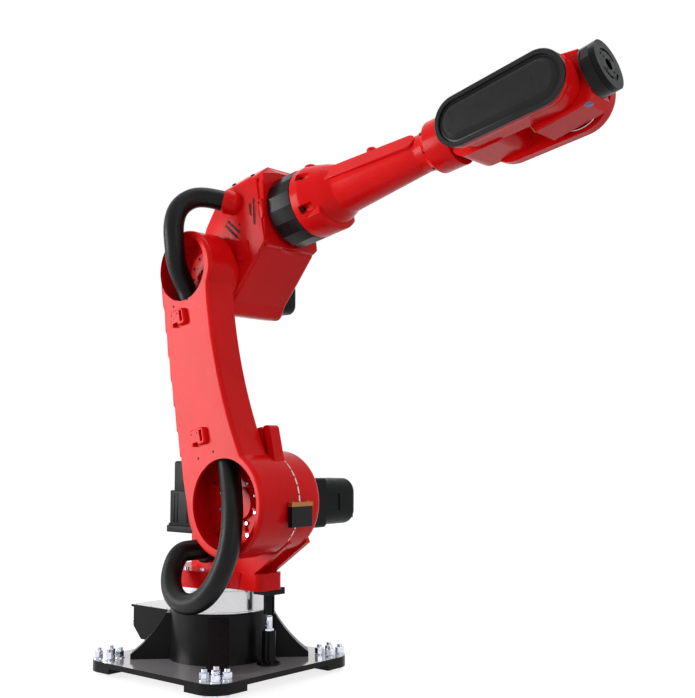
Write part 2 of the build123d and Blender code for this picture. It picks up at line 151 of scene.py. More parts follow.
# Scales of the surface noises, and the heights of their bumps in metres
DRIFT_SCALE = 5.0
GLOSS_SCALE = 38.0
SKIN_SCALE = 420.0
SKIN_HEIGHT = 0.0006
MARK_SCALE = 90.0
MARK_STRENGTH = 0.08
MARK_HEIGHT = 0.0004
# How far a normal points up, and how low the angle of view is, where enamel turns to a mirror
FACING_UP = (0.9, 0.97)
LOW_ANGLE = (0.62, 0.95)
MIRROR_TINT = (0.95, 0.95, 0.96, 1)


def paint(name, low, high, roughness, specular, peel=0.06):
    """Sprayed gloss paint: slight tone drift, uneven gloss and fine orange peel."""
    mat, tree, shader = new_material(name)
    drift = add_noise(tree, DRIFT_SCALE, 3.0)
    tone = ramp_between(tree, drift.outputs["Fac"], low, high)
    tree.links.new(tone.outputs["Color"], shader.inputs["Base Color"])
    gloss = add_noise(tree, GLOSS_SCALE, 5.0)
    tree.links.new(value_range(tree, gloss.outputs["Fac"], *roughness), shader.inputs["Roughness"])
    shader.inputs["Specular IOR Level"].default_value = specular
    skin = add_noise(tree, SKIN_SCALE, 2.0)
    add_bump(tree, shader, skin.outputs["Fac"], peel, SKIN_HEIGHT)
    return mat


def metal(name, low, high, roughness, stretch):
    """Turned or ground steel with fine marks along one direction."""
    mat, tree, shader = new_material(name)
    marks = add_noise(tree, MARK_SCALE, 6.0, stretch)
    tone = ramp_between(tree, marks.outputs["Fac"], low, high)
    tree.links.new(tone.outputs["Color"], shader.inputs["Base Color"])
    tree.links.new(value_range(tree, marks.outputs["Fac"], *roughness), shader.inputs["Roughness"])
    shader.inputs["Metallic"].default_value = 1.0
    add_bump(tree, shader, marks.outputs["Fac"], MARK_STRENGTH, MARK_HEIGHT)
    return mat


def mirror_when_low(mat):
    """Let faces that look up turn to a mirror at a low angle, as polished enamel does."""
    tree = mat.node_tree
    shader = tree.nodes["Principled BSDF"]
    geometry = tree.nodes.new("ShaderNodeNewGeometry")
    split = tree.nodes.new("ShaderNodeSeparateXYZ")
    tree.links.new(geometry.outputs["Normal"], split.inputs["Vector"])
    upward = value_range(tree, split.outputs["Z"], 0.0, 1.0, *FACING_UP)
    weight = tree.nodes.new("ShaderNodeLayerWeight")
    weight.inputs["Blend"].default_value = 0.5
    low_angle = value_range(tree, weight.outputs["Facing"], 0.0, 1.0, *LOW_ANGLE)
    both = tree.nodes.new("ShaderNodeMath")
    both.operation = "MULTIPLY"
    tree.links.new(upward, both.inputs[0])
    tree.links.new(low_angle, both.inputs[1])
    old = shader.inputs["Base Color"].links[0].from_socket
    mix = tree.nodes.new("ShaderNodeMix")
    mix.data_type = "RGBA"
    mix.inputs["B"].default_value = MIRROR_TINT
    tree.links.new(both.outputs[0], mix.inputs["Factor"])
    tree.links.new(old, mix.inputs["A"])
    tree.links.new(mix.outputs["Result"], shader.inputs["Base Color"])
    tree.links.new(both.outputs[0], shader.inputs["Metallic"])


RED = paint("red_gloss_paint", (0.70, 0.004, 0.005), (0.78, 0.007, 0.008), (0.20, 0.28), 0.10)
BLACK = paint("black_gloss_paint", (0.005, 0.005, 0.006), (0.008, 0.008, 0.009), (0.26, 0.36), 0.10)
ENAMEL = paint("black_plate_enamel", (0.005, 0.005, 0.006), (0.008, 0.008, 0.009), (0.06, 0.12), 0.12, 0.01)
MOTOR = paint("motor_black_paint", (0.005, 0.006, 0.006), (0.009, 0.010, 0.010), (0.30, 0.42), 0.08, 0.12)
PLASTIC = paint("black_moulded_plastic", (0.006, 0.006, 0.006), (0.010, 0.010, 0.010), (0.24, 0.34), 0.16, 0.15)
SLEEVE = paint("black_anodised_sleeve", (0.006, 0.006, 0.007), (0.010, 0.010, 0.011), (0.20, 0.30), 0.14)
RUBBER = paint("hose_plastic", (0.003, 0.003, 0.003), (0.005, 0.006, 0.005), (0.30, 0.40), 0.16, 0.2)
# Cover plastic: the moulded black plastic with a lighter base colour, a painted sheen for the lamp light that falls
# on the cover
COVER_WITH_PAINTED_SHEEN = paint("cover_plastic_painted_sheen", (0.010, 0.010, 0.010), (0.016, 0.016, 0.016), (0.26, 0.36), 0.16)
DARK = paint("blackened_screws", (0.004, 0.004, 0.005), (0.009, 0.009, 0.010), (0.30, 0.45), 0.12)
STEEL = metal("bright_turned_steel", (0.50, 0.50, 0.51), (0.62, 0.62, 0.63), (0.14, 0.24), (1, 1, 30))
ZINC = metal("zinc_plated_steel", (0.60, 0.63, 0.72), (0.82, 0.85, 0.93), (0.16, 0.30), (1, 1, 1))
BRONZE = metal("bronze_cover_plate", (0.30, 0.13, 0.04), (0.42, 0.20, 0.07), (0.35, 0.5), (1, 20, 1))
BRASS = metal("brass_shim", (0.55, 0.38, 0.14), (0.70, 0.50, 0.22), (0.25, 0.4), (1, 1, 12))
PEWTER = paint("grey_seal_frame", (0.16, 0.17, 0.20), (0.24, 0.25, 0.29), (0.3, 0.4), 0.1)
BLUE = paint("blue_seal", (0.03, 0.09, 0.42), (0.05, 0.14, 0.55), (0.25, 0.35), 0.5)
GREEN = paint("green_cap", (0.03, 0.22, 0.06), (0.05, 0.32, 0.09), (0.3, 0.4), 0.5)

SLOT_MATERIALS = {
    "red_paint": RED,
    "black_paint": BLACK,
    "motor_black": MOTOR,
    "black_plastic": PLASTIC,
    "hose_rubber": RUBBER,
    "bright_steel": STEEL,
    "zinc_steel": ZINC,
    "bronze_plate": BRONZE,
}
NODE_MATERIALS = {"base_plate": ENAMEL, "connector_box": ENAMEL, "tool_sleeve": SLEEVE, "tool_flange": MOTOR}


def dress_nodes():
    """Give every CAD node the material of its slot, or its own where it has one."""
    mirror_when_low(ENAMEL)
    slots = {s["node"]: s["material_slot"] for s in frame["record"]["subparts"]}
    for name, node in NODES.items():
        node.data.materials.clear()
        node.data.materials.append(NODE_MATERIALS.get(name, SLOT_MATERIALS[slots[name]]))


# Mesh helpers: every part is a pair of point and face lists in millimetres

def ring_point(radius, height, angle, corners):
    """Point of a round ring, or of one with that many corners when corners is set."""
    if corners:
        step = 2 * math.pi / corners
        radius = radius / math.cos((angle + step / 2) % step - step / 2)
    return Vector((radius * math.cos(angle), radius * math.sin(angle), height))


def lathe(profile, sides=24):
    """Closed solid through rings (radius, height[, corners]) around the local z axis."""
    verts, faces = [], []
    for row in profile:
        corners = row[2] if len(row) > 2 else 0
        for s in range(sides):
            verts.append(ring_point(row[0], row[1], 2 * math.pi * s / sides, corners))
    for i in range(len(profile) - 1):
        for s in range(sides):
            a, b = i * sides + s, i * sides + (s + 1) % sides
            faces.append((a, b, b + sides, a + sides))
    last = (len(profile) - 1) * sides
    faces.append(tuple(reversed(range(sides))))
    faces.append(tuple(last + s for s in range(sides)))
    return verts, faces


STEPS_PER_TURN = 6


def thread(radius, low, high, pitch, depth, sides=24):
    """Rod with a helical thread between two heights, its ends chamfered."""
    verts, faces = [], []
    rows = round((high - low) / pitch * STEPS_PER_TURN)
    for i in range(rows + 1):
        height = low + (high - low) * i / rows
        fade = min(1.0, (height - low) / pitch, (high - height) / pitch)
        for s in range(sides):
            turn = (height / pitch - s / sides) % 1.0
            tooth = abs(2 * turn - 1)
            angle = 2 * math.pi * s / sides
            reach = radius - depth * (1 - tooth * fade)
            verts.append(Vector((reach * math.cos(angle), reach * math.sin(angle), height)))
    for i in range(rows):
        for s in range(sides):
            a, b = i * sides + s, i * sides + (s + 1) % sides
            faces.append((a, b, b + sides, a + sides))
    faces.append(tuple(reversed(range(sides))))
    faces.append(tuple(rows * sides + s for s in range(sides)))
    return verts, faces


def prism(outline, low, high, bevel=0.8):
    """Solid between two heights of a convex outline (x, y), with all its edges rounded."""
    mesh = bmesh.new()
    count = len(outline)
    verts = [mesh.verts.new((x, y, z)) for z in (low, high) for x, y in outline]
    mesh.faces.new(list(reversed(verts[:count])))
    mesh.faces.new(verts[count:])
    for i in range(count):
        j = (i + 1) % count
        mesh.faces.new((verts[i], verts[j], verts[j + count], verts[i + count]))
    if bevel:
        bmesh.ops.bevel(mesh, geom=mesh.edges[:], offset=bevel, segments=2, affect="EDGES", profile=0.5)
    mesh.verts.index_update()
    part = ([v.co.copy() for v in mesh.verts], [tuple(v.index for v in f.verts) for f in mesh.faces])
    mesh.free()
    return part


def brick(x, y, z, bevel=0.8):
    """Rounded block between (low, high) pairs."""
    outline = [(x[0], y[0]), (x[1], y[0]), (x[1], y[1]), (x[0], y[1])]
    return prism(outline, z[0], z[1], bevel)


def rounded(width, height, radius, steps=6):
    """Outline of a rectangle with round corners about the origin."""
    points = []
    for sx, sy, start in ((1, 1, 0), (-1, 1, 90), (-1, -1, 180), (1, -1, 270)):
        for k in range(steps + 1):
            angle = math.radians(start + 90 * k / steps)
            cx, cy = sx * (width / 2 - radius), sy * (height / 2 - radius)
            points.append((cx + radius * math.cos(angle), cy + radius * math.sin(angle)))
    return points


def socket_screw(radius, height):
    """Cap head with a chamfered rim and a hexagon socket."""
    hexagon = radius * 0.5
    return lathe([(radius, 0), (radius, height * 0.86), (radius * 0.88, height), (hexagon, height, 6),
                  (hexagon, height * 0.35, 6), (hexagon * 0.2, height * 0.3)])


def hex_screw(radius, height):
    """Washer, hexagon head and chamfered top."""
    return lathe([(radius * 1.32, 0), (radius * 1.32, height * 0.18), (radius * 1.02, height * 0.2),
                  (radius * 0.9, height * 0.22, 6), (radius * 0.9, height * 0.86, 6), (radius * 0.84, height)])


def button_screw(radius, height):
    """Low domed head with a small hexagon socket."""
    rows = [(radius * math.cos(math.radians(a)), height * math.sin(math.radians(a))) for a in (0, 25, 45, 60)]
    hexagon = radius * 0.38
    return lathe(rows + [(hexagon, height * 0.93, 6), (hexagon, height * 0.4, 6), (hexagon * 0.2, height * 0.35)])


def tube_ring(inner, outer, low, high, soft=0.5, sides=96):
    """Ring with a rectangular section and eased edges."""
    section = [(inner + soft, low), (outer - soft, low), (outer, low + soft), (outer, high - soft),
               (outer - soft, high), (inner + soft, high), (inner, high - soft), (inner, low + soft)]
    verts, faces = [], []
    count = len(section)
    for s in range(sides):
        angle = 2 * math.pi * s / sides
        for radius, height in section:
            verts.append(Vector((radius * math.cos(angle), radius * math.sin(angle), height)))
    for s in range(sides):
        for k in range(count):
            a, b = s * count + k, s * count + (k + 1) % count
            c, d = ((s + 1) % sides) * count + (k + 1) % count, ((s + 1) % sides) * count + k
            faces.append((a, d, c, b))
    return verts, faces


def moved(part, matrix):
    return [matrix @ v for v in part[0]], part[1]


def around(count, radius, start=0.0):
    """Matrices that put a part on a circle in the local xy plane."""
    return [spin(start + 360 / count * k, "Z") @ shift(radius, 0, 0) for k in range(count)]


def grown(outline, amount):
    """Convex outline (x, y) moved outward by an amount along its point normals."""
    points = []
    count = len(outline)
    for i, (x, y) in enumerate(outline):
        before, after = Vector(outline[i - 1]), Vector(outline[(i + 1) % count])
        along = (after - before).normalized()
        points.append((x + along.y * amount, y - along.x * amount))
    return points


def stack(layers):
    """Closed solid through outlines of equal point counts, each at its own height."""
    count = len(layers[0][0])
    verts = [Vector((x, y, z)) for outline, z in layers for x, y in outline]
    faces = [tuple(reversed(range(count)))]
    for ring in range(len(layers) - 1):
        for i in range(count):
            a, b = ring * count + i, ring * count + (i + 1) % count
            faces.append((a, b, b + count, a + count))
    faces.append(tuple((len(layers) - 1) * count + i for i in range(count)))
    return verts, faces


def cushion(outline, low, high, soft_low, soft_high, steps=4):
    """Solid between two heights of a convex outline whose two rims are rounded by their own radii."""
    rows = []
    for k in range(steps + 1):
        angle = math.radians(90 * k / steps)
        rows.append((-soft_low * (1 - math.sin(angle)), low + soft_low * (1 - math.cos(angle))))
    for k in range(steps + 1):
        angle = math.radians(90 * k / steps)
        rows.append((-soft_high * (1 - math.cos(angle)), high - soft_high * (1 - math.sin(angle))))
    return stack([(grown(outline, inset), z) for inset, z in rows])


def frame_band(outline, wide, low, high, soft=1.5):
    """Raised border that runs inside an outline, with eased edges."""
    section = [(0, low), (0, high - soft), (-soft, high), (-wide + soft, high), (-wide, high - soft), (-wide, low)]
    rings = [(grown(outline, inset), z) for inset, z in section]
    count = len(outline)
    verts = [Vector((x, y, z)) for line, z in rings for x, y in line]
    faces = []
    for ring in range(len(rings)):
        after = (ring + 1) % len(rings)
        for i in range(count):
            j = (i + 1) % count
            faces.append((ring * count + i, ring * count + j, after * count + j, after * count + i))
    return verts, faces


def softened(corners, radius, steps=5):
    """Outline through convex corners, each rounded by the same radius."""
    points = []
    count = len(corners)
    for i in range(count):
        corner = Vector(corners[i])
        back = (Vector(corners[i - 1]) - corner).normalized()
        ahead = (Vector(corners[(i + 1) % count]) - corner).normalized()
        half = back.angle(ahead) / 2
        reach = radius / math.tan(half)
        centre = corner + (back + ahead).normalized() * radius / math.sin(half)
        start, end = corner + back * reach - centre, corner + ahead * reach - centre
        for k in range(steps + 1):
            spoke = start.lerp(end, k / steps).normalized() * radius
            points.append((centre.x + spoke.x, centre.y + spoke.y))
    return points


def stadium(left, left_radius, right, right_radius, steps=24):
    """Outline with two round ends about two centres, counter-clockwise."""
    points = []
    for centre, radius, start in ((right, right_radius, -90), (left, left_radius, 90)):
        for k in range(steps + 1):
            angle = math.radians(start + 180 * k / steps)
            points.append((centre[0] + radius * math.cos(angle), centre[1] + radius * math.sin(angle)))
    return points


def turned_field(stations, radius_at, sides=360):
    """Closed solid along the local x axis whose radius depends on station and angle."""
    verts, faces = [], []
    for station in stations:
        for k in range(sides):
            angle = 2 * math.pi * k / sides
            radius = radius_at(station, angle)
            verts.append(Vector((station, radius * math.cos(angle), radius * math.sin(angle))))
    for i in range(len(stations) - 1):
        for k in range(sides):
            a, b = i * sides + k, i * sides + (k + 1) % sides
            faces.append((a, b, b + sides, a + sides))
    faces.append(tuple(reversed(range(sides))))
    faces.append(tuple((len(stations) - 1) * sides + k for k in range(sides)))
    return verts, faces


def between(rows, value):
    """Straight-line reading of a table of (value, result) rows."""
    for (a, low), (b, high) in zip(rows, rows[1:]):
        if value <= b:
            return low + (high - low) * (value - a) / (b - a)
    return rows[-1][1]


def scaled(outline, factor):
    return [(x * factor, y * factor) for x, y in outline]


def at_places(parts, matrices):
    return [moved(part, m) for part in parts for m in matrices]


def build(name, parts, place, material, body, sharp=32.0):
    """Join parts into one object in metres, shade it and let it ride on a body."""
    verts, faces = [], []
    for points, polygons in parts:
        base = len(verts)
        verts.extend(tuple(place @ v) for v in points)
        faces.extend(tuple(base + i for i in polygon) for polygon in polygons)
    mesh = bpy.data.meshes.new(name)
    mesh.from_pydata(verts, [], faces)
    tidy = bmesh.new()
    tidy.from_mesh(mesh)
    bmesh.ops.recalc_face_normals(tidy, faces=tidy.faces)
    tidy.to_mesh(mesh)
    tidy.free()
    mesh.polygons.foreach_set("use_smooth", [True] * len(mesh.polygons))
    mesh.set_sharp_from_angle(angle=math.radians(sharp))
    mesh.materials.append(material)
    piece = bpy.data.objects.new(name, mesh)
    bpy.context.scene.collection.objects.link(piece)
    if body:
        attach(piece, body)
    return piece


def point_path(points):
    """Points along the smooth line that has the route's points as its control points."""
    curve = bpy.data.curves.new("route", "CURVE")
    curve.dimensions = "3D"
    curve.resolution_u = 12
    spline = curve.splines.new("NURBS")
    spline.points.add(len(points) - 1)
    for target, place in zip(spline.points, points):
        target.co = (*[c * MM for c in place], 1)
    spline.order_u = 3
    spline.use_endpoint_u = True
    holder = bpy.data.objects.new("route", curve)
    bpy.context.scene.collection.objects.link(holder)
    bpy.context.view_layer.update()
    mesh = bpy.data.meshes.new_from_object(holder)
    line = [v.co.copy() for v in mesh.vertices]
    bpy.data.objects.remove(holder)
    return line


def dense_line(line, step):
    """The same line with points an even step apart."""
    lengths = [0.0]
    for a, b in zip(line, line[1:]):
        lengths.append(lengths[-1] + (b - a).length)
    count = max(2, round(lengths[-1] / step))
    result = []
    k = 0
    for i in range(count + 1):
        goal = lengths[-1] * i / count
        while k < len(lengths) - 2 and lengths[k + 1] < goal:
            k += 1
        share = (goal - lengths[k]) / (lengths[k + 1] - lengths[k])
        result.append(line[k].lerp(line[k + 1], share))
    return result


HOSE_PITCH = 6.0
RIB_DEPTH = 0.7
RINGS_PER_RIB = 4
HOSE_SIDES = 40


def corrugated_tube(line):
    """Tube with fine round ribs across it, along a line of even steps in metres."""
    verts, faces = [], []
    tangent = (line[1] - line[0]).normalized()
    side = tangent.orthogonal().normalized()
    for i, place in enumerate(line):
        ahead = line[min(i + 1, len(line) - 1)] - line[max(i - 1, 0)]
        new_tangent = ahead.normalized()
        side = (tangent.rotation_difference(new_tangent) @ side).normalized()
        tangent = new_tangent
        other = tangent.cross(side)
        wave = 0.5 - 0.5 * math.cos(2 * math.pi * (i % RINGS_PER_RIB) / RINGS_PER_RIB)
        radius = HOSE_R - RIB_DEPTH * (1 - wave)
        for s in range(HOSE_SIDES):
            angle = 2 * math.pi * s / HOSE_SIDES
            spoke = math.cos(angle) * side + math.sin(angle) * other
            verts.append(place / MM + radius * spoke)
    rings = len(line)
    for i in range(rings - 1):
        for s in range(HOSE_SIDES):
            a = i * HOSE_SIDES + s
            b = i * HOSE_SIDES + (s + 1) % HOSE_SIDES
            faces.append((a, b, b + HOSE_SIDES, a + HOSE_SIDES))
    faces.append(tuple(reversed(range(HOSE_SIDES))))
    faces.append(tuple((rings - 1) * HOSE_SIDES + s for s in range(HOSE_SIDES)))
    return verts, faces


# Route of the cable hose, in millimetres, the same points as the model's
LOWER_HOSE = [
    (32, -106, 388), (32, -140, 388), (10, -186, 384), (14, -222, 318), (66, -254, 264), (150, -275, 246),
    (236, -288, 270), (302, -293, 330), (336, -290, 398), (343, -282, 460), (328, -264, 520), (296, -238, 572),
    (262, -214, 620), (243, -204, 660), (226, -204, 700),
]
MIDDLE_HOSE = [
    (226, -204, 700), (197.1, -204, 768), (162, -203, 840), (136, -203, 920), (117, -203, 1000),
    (96, -204, 1070), (74, -204, 1126),
]
UPPER_HOSE = [
    (74, -204, 1126), (57.5, -204, 1168), (57, -228, 1212), (70, -262, 1254), (86, -285, 1306), (82, -288, 1368),
    (76, -266, 1424), (88, -226, 1460), (116, -188, 1467), (143, -158, 1458),
]


def make_hose():
    """Three lengths of one corrugated hose: a loop at the shoulder, a straight run and a bow at the elbow."""
    step = HOSE_PITCH * MM / RINGS_PER_RIB
    parts = [
        ("lower_cable_hose", LOWER_HOSE, "lower_hose"),
        ("middle_cable_hose", MIDDLE_HOSE, "middle_hose"),
        ("upper_cable_hose", UPPER_HOSE, "upper_hose"),
    ]
    pieces = []
    for name, points, node in parts:
        line = dense_line(point_path(points), step)
        piece = build(name, [corrugated_tube(line)], WORLD, RUBBER, None, 60)
        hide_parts(node)
        pieces.append(piece)
    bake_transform(pieces[0])
    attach(pieces[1], "upper_arm")
    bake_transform(pieces[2])


STUD_CENTRE = 244
STUD_OFFSETS = (-23, 23)


def make_anchor_bolts():
    """Sixteen threaded studs through the plate pads, each with a washer and a tall nut."""
    stud = [
        thread(9.0, 12, 77, 2.0, 0.9),
        lathe([(7.0, 0), (8.0, 1.2), (8.0, 12.5)]),
        lathe([(15, 45), (15, 47.2), (14.4, 48), (9.6, 48)]),
        lathe([(11.6, 48), (12.2, 49.2, 6), (12.2, 66.8, 6), (11.4, 68), (9.4, 68)]),
    ]
    places = []
    signs = (-1, 1)
    for index, (sx, sy, dx, dy) in enumerate(itertools.product(signs, signs, STUD_OFFSETS, STUD_OFFSETS)):
        places.append(shift(sx * STUD_CENTRE + dx, sy * STUD_CENTRE + dy, 0) @ spin(index * 17, "Z"))
    piece = build("anchor_bolts", at_places(stud, places), WORLD, ZINC, "base")
    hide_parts("anchor_studs")


POST_PLACE = (204, 10, 0)
POST_FOOT_TOP = 50
BOX_REAR = -353
BOX_LID = 182
SOCKET_ROW = (-42, 0, 42)
SOCKET_HEIGHT = 128


def make_base_details():
    """Stop plunger thread and foot, ring lips, screws of the rear box and its sockets."""
    post = shift(*POST_PLACE)
    plunger = [
        thread(10.6, 145, 178, 2.5, 1.0),
        lathe([(12.2, 145), (12.9, 145.8, 6), (12.9, 151.4, 6), (11.8, 152), (10.7, 152)]),
        lathe([(8.2, 178), (8.2, 187), (6.8, 188.8)]),
    ]
    build("stop_plunger_thread", at_places(plunger, [post]), WORLD, ZINC, "base")
    collar = tube_ring(20, 36, 45, POST_FOOT_TOP, 1.0, 48)
    build("stop_post_foot", [moved(collar, post)], WORLD, BLACK, "base")
    feet = [post @ shift(0, 0, POST_FOOT_TOP) @ m for m in around(6, 29, 30)]
    build("stop_post_screws", at_places([hex_screw(4.6, 5)], feet), WORLD, DARK, "base")
    lips = [tube_ring(151.0, 152.5, 200.5, 202.5), tube_ring(151.0, 152.7, 263.0, 265.5)]
    build("bearing_ring_lips", lips, WORLD, STEEL, "base")
    spots = [shift(a, b, BOX_LID) for a in (-338, -262, -186) for b in (-66, 66)]
    build("rear_box_lid_screws", at_places([button_screw(4.5, 2.6)], spots), WORLD, ZINC, "base")
    inserts, pins, latches = [], [], []
    for y in SOCKET_ROW:
        seat = shift(BOX_REAR, y, SOCKET_HEIGHT) @ spin(-90, "Y")
        inserts.append(moved(prism(rounded(24, 38, 3), 0, 3.5, 0.5), seat))
        rows = [seat @ shift(a, b, 3.4) for a in (-6, 0, 6) for b in range(-14, 15, 7)]
        pins.extend(at_places([lathe([(1.5, 0), (1.5, 2.6), (1.1, 3.2)], 10)], rows))
        sides = [seat @ shift(0, side * 25, -3) for side in (-1, 1)]
        latches.extend(at_places([brick((-4, 4), (-2, 2), (0, 8))], sides))
    build("rear_socket_inserts", inserts, WORLD, PLASTIC, "base")
    build("rear_socket_pins", pins, WORLD, BRASS, "base")
    build("rear_socket_latches", latches, WORLD, ZINC, "base")


TABLE_TOP = 326
SHOULDER_MOTOR_FACE = -112
SHOULDER_MOTOR_DROP = -8
HOUSING_FACE = -11


def make_turret_details():
    """Screws of the slewing table, shoulder motor, housing and stop plate, the nipple and the hose nut."""
    rim = [shift(0, 0, TABLE_TOP) @ spin(a, "Z") @ shift(143, 0, 0) for a in range(30, 300, 24)]
    build("table_rim_screws", at_places([socket_screw(7.5, 9)], rim), WORLD, ZINC, "turret")
    nub = lathe([(9, 0), (9, 5), (6, 6), (6, 10, 6), (5, 11)])
    build("grease_nipple", [moved(nub, shift(58, -85, 379) @ spin(90, "X"))], WORLD, STEEL, "turret")
    flat = [shift(x, SHOULDER_MOTOR_DROP + y, SHOULDER_MOTOR_FACE) @ spin(180, "X")
            for x in (-63, 63) for y in (-63, 63)]
    build("shoulder_motor_screws", at_places([socket_screw(7, 8)], flat), SHOULDER, DARK, "turret")
    cover = [shift(0, 0, HOUSING_FACE) @ m @ spin(180, "X") for m in around(12, 118, 15)]
    build("shoulder_housing_screws", at_places([socket_screw(6, 7)], cover), SHOULDER, DARK, "turret")
    tops = [shift(438.5, b, 546) for b in (-134, -104, -74)]
    build("stop_plate_screws", at_places([button_screw(4, 2.2)], tops), WORLD, BRONZE, "turret")
    nut = lathe([(34, -3), (39, -2), (41.5, 0, 12), (41.5, 15, 12), (40, 17), (40.2, 18)], 48)
    build("turret_hose_nut", [nut], WORLD @ shift(*LOWER_HOSE[0]) @ spin(-90, "X"), PLASTIC, "turret")


WINDOW_RIM = 164
WINDOW_FLOOR = 172
ARM_FACE = 250
CLAMP_FACE = 262
CLAMPS = ((-50.6, 208.9), (-60.7, 580.1))


def make_upper_arm_details():
    """Screws and webs in the two windows, and the screws of the arm's face and of the clamps."""
    outer = [shift(0, 0, WINDOW_RIM) @ m for m in around(12, 94)]
    inner = [shift(0, 0, WINDOW_FLOOR) @ m for m in around(8, 62, 9)]
    parts = at_places([socket_screw(6.8, 9)], outer) + at_places([socket_screw(5.5, 6)], inner)
    build("shoulder_reducer_screws", parts, ARM, ZINC, "upper_arm")
    webs = at_places([brick((46, 84), (-4, 4), (168, 180), 1.5)], [spin(-30 + 60 * k, "Z") for k in range(6)])
    webs += at_places([brick((111, 147), (-4, 4), (158, 172), 1.5)], [spin(25 + 60 * k, "Z") for k in range(6)])
    build("shoulder_webs", webs, ARM, RED, "upper_arm")
    high = shift(0, ARM_LENGTH, 0)
    small = [high @ shift(0, 0, WINDOW_RIM) @ m for m in around(10, 58.8)]
    dowels = [high @ shift(0, 0, WINDOW_FLOOR) @ m for m in around(6, 42, 18)]
    parts = at_places([socket_screw(4.2, 8)], small) + at_places([button_screw(3.4, 2)], dowels)
    middle = lathe([(12, 0), (12, 3), (10.5, 4), (6, 4, 6), (6, 1.5, 6), (1, 1)])
    parts.append(moved(middle, high @ shift(0, 0, 174)))
    build("elbow_reducer_screws", parts, ARM, DARK, "upper_arm")
    tie = [shift(*p, ARM_FACE) for p in ((-71, 150), (-5, 154), (-82, 623), (-18, 626))]
    build("arm_face_screws", at_places([button_screw(3.4, 1.6)], tie), ARM, DARK, "upper_arm")
    clamp = [shift(f + x, d + 12, CLAMP_FACE) for f, d in CLAMPS for x in (-20, 4)]
    build("clamp_screws", at_places([socket_screw(2.4, 1.6)], clamp), ARM, DARK, "upper_arm")


HUB_PLACE = (0, -150, 0)
FAR_COVER_FACE = -121


def make_elbow_details():
    """Screws of the face, plugs on the crest, and the far side's cover with its screws."""
    dots = [shift(121, -20, 124.2), shift(213, 18, 125.4)]
    build("elbow_face_screws", at_places([button_screw(3.2, 1.8)], dots), FORE, DARK, "elbow")
    tilt = spin(-56, "X")
    plugs = [shift(s, 132.5, 80) @ tilt for s in (78, 162)]
    cap = lathe([(7, -2), (7, 2), (5.6, 2.6, 6), (5.6, 4.6, 6), (5, 5)])
    build("elbow_crest_plugs", at_places([cap], plugs), FORE, DARK, "elbow")
    place = shift(*HUB_PLACE)
    cover = moved(tube_ring(0.5, 88, FAR_COVER_FACE, -114.5, 1.5, 64), place)
    build("elbow_far_cover", [cover], FORE, RED, "elbow")
    ring = [place @ shift(0, 0, FAR_COVER_FACE) @ m @ spin(180, "X") for m in around(8, 74, 22.5)]
    build("elbow_far_screws", at_places([socket_screw(5.5, 5)], ring), FORE, DARK, "elbow")


WRIST_FAR_PLACE = (1185, 0)
WRIST_FAR_FACE = -119


def make_wrist_details():
    """Seal frame with a blue centre, brass shim, green cap, far cover and the tool thread inserts."""
    seat = shift(66, -84, 30) @ spin(90, "X")
    seal = [prism(rounded(18, 26, 3), -1, 1.6, 0.5)]
    build("wrist_seal_ring", at_places(seal, [seat]), WRIST, PEWTER, "wrist")
    centre = lathe([(6.5, 0), (6.5, 2.2), (5, 2.8)], 24)
    build("wrist_seal", [moved(centre, seat)], WRIST, BLUE, "wrist")
    shim = prism([(-99.5, -46), (-97, -45), (-83, -83), (-84.5, -85.5)], 43, 45.5, 0)
    build("wrist_brass_shim", [shim], WRIST, BRASS, "wrist")
    green = [moved(lathe([(6, 0), (6, 5), (5, 6), (3, 6, 6), (3, 3, 6)]), shift(1173, -73, -75))]
    build("wrist_green_cap", green, FORE, GREEN, "forearm")
    cap = [moved(tube_ring(0.5, 66, WRIST_FAR_FACE, -114.5, 1.5, 64), shift(*WRIST_FAR_PLACE, 0))]
    build("wrist_far_cover", cap, FORE, RED, "forearm")
    ring = [shift(*WRIST_FAR_PLACE, WRIST_FAR_FACE) @ m @ spin(180, "X") for m in around(6, 54)]
    build("wrist_far_screws", at_places([socket_screw(4.5, 4)], ring), FORE, DARK, "forearm")
    bolts = [shift(123.5, 25 * math.cos(a), 25 * math.sin(a)) @ ALONG_X
             for a in (math.radians(45 + 90 * k) for k in range(4))]
    inserts = at_places([tube_ring(2.9, 4.2, 10, 10.8, 0.2, 24)], bolts)
    build("tool_thread_inserts", inserts, WRIST, DARK, "tool_plate")


# Side view of the cheek in the forearm's frame, section (across, towards -Y) of the housing's front, and vents
# as (along, across, length, turn)
CHEEK = [(226, 118), (52, 110), (-36, 20), (-100, -84), (-114, -150), (-92, -222), (-40, -262), (22, -281),
         (48, -250), (226, -108)]
FRONT_SECTION = [(90, 116), (112, 112), (154, 50), (154, -60), (112, -98), (90, -98), (-100, -115), (-113, -100),
                 (-113, 108), (-100, 120), (80, 120)]
FRONT_START = 198
FRONT_END = 237
FRONT_CREST = 124
FRONT_SLANT = 0.13
CHEEK_FACE = 124.3
VENTS = ((189.5, -1, 83, -6.3), (174.5, 10, 36, -2), (95, -19.5, 72, 42), (83.5, -31, 70, 40))


